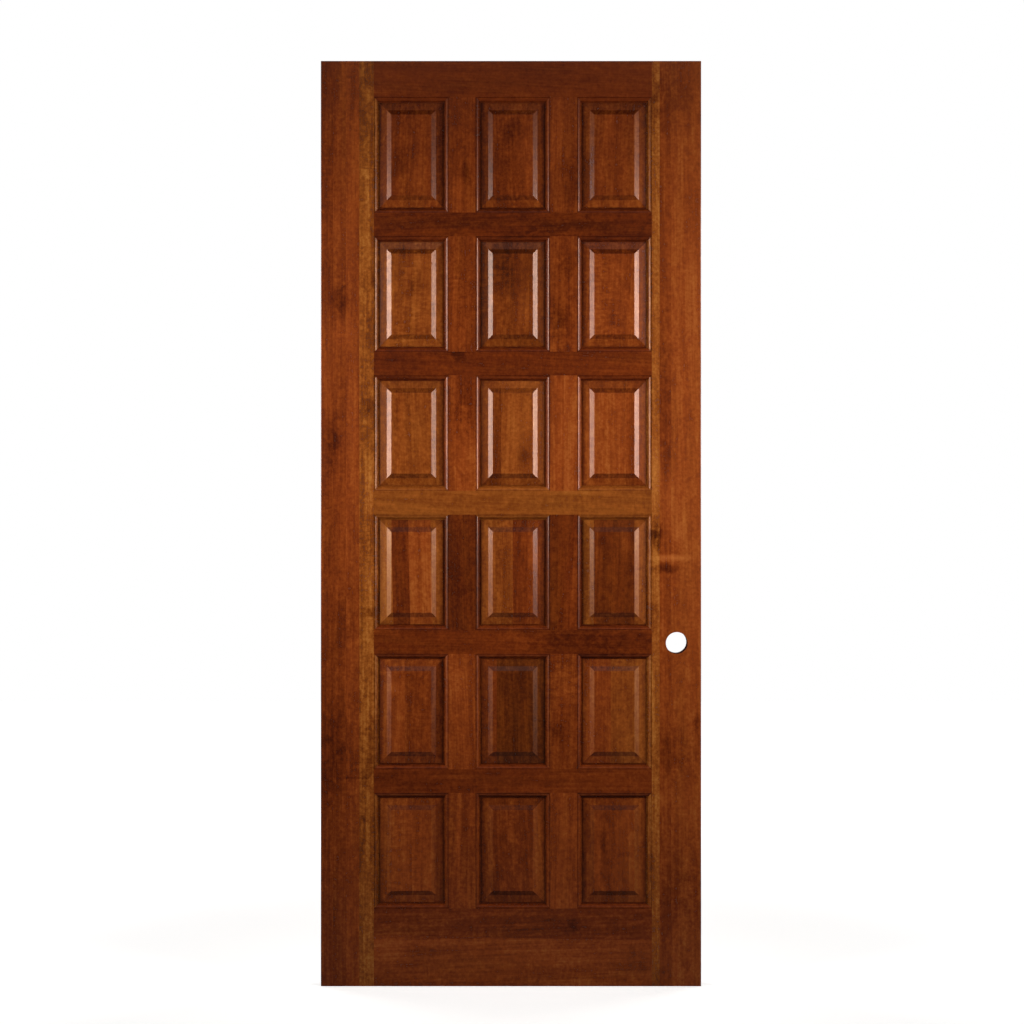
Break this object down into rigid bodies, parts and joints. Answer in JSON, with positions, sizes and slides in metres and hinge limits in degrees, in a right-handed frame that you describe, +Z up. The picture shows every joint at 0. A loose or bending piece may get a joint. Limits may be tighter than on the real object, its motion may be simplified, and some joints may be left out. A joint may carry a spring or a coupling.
{
  "type": "panelled front door leaf",
  "caption": "Solid wood front door leaf: coped and moulded frame round rows of small raised panels, bored near one edge for a cylindrical lock.",
  "frame": {"origin": "middle of the leaf's bottom edge: middle of its width and of its thickness", "axes": "+X across the leaf towards the lock edge, -Y out of the front face, +Z up the leaf"},
  "size_m": [0.9398, 0.0444, 2.286],
  "materials": {
    "frame_wood": "stained hardwood, satin varnish",
    "panel_wood": "stained hardwood, satin varnish"
  },
  "bodies": {
    "root": {"hinge_stile": "frame_wood", "lock_stile": "frame_wood", "top_rail": "frame_wood", "cross_rail_1": "frame_wood", "cross_rail_2": "frame_wood", "cross_rail_3": "frame_wood", "cross_rail_4": "frame_wood", "cross_rail_5": "frame_wood", "bottom_rail": "frame_wood", "mullion_row1_1": "frame_wood", "mullion_row1_2": "frame_wood", "mullion_row2_1": "frame_wood", "mullion_row2_2": "frame_wood", "mullion_row3_1": "frame_wood", "mullion_row3_2": "frame_wood", "mullion_row4_1": "frame_wood", "mullion_row4_2": "frame_wood", "mullion_row5_1": "frame_wood", "mullion_row5_2": "frame_wood", "mullion_row6_1": "frame_wood", "mullion_row6_2": "frame_wood", "panel_row1_col1": "panel_wood", "panel_row1_col2": "panel_wood", "panel_row1_col3": "panel_wood", "panel_row2_col1": "panel_wood", "panel_row2_col2": "panel_wood", "panel_row2_col3": "panel_wood", "panel_row3_col1": "panel_wood", "panel_row3_col2": "panel_wood", "panel_row3_col3": "panel_wood", "panel_row4_col1": "panel_wood", "panel_row4_col2": "panel_wood", "panel_row4_col3": "panel_wood", "panel_row5_col1": "panel_wood", "panel_row5_col2": "panel_wood", "panel_row5_col3": "panel_wood", "panel_row6_col1": "panel_wood", "panel_row6_col2": "panel_wood", "panel_row6_col3": "panel_wood"}
  },
  "joints": []
}
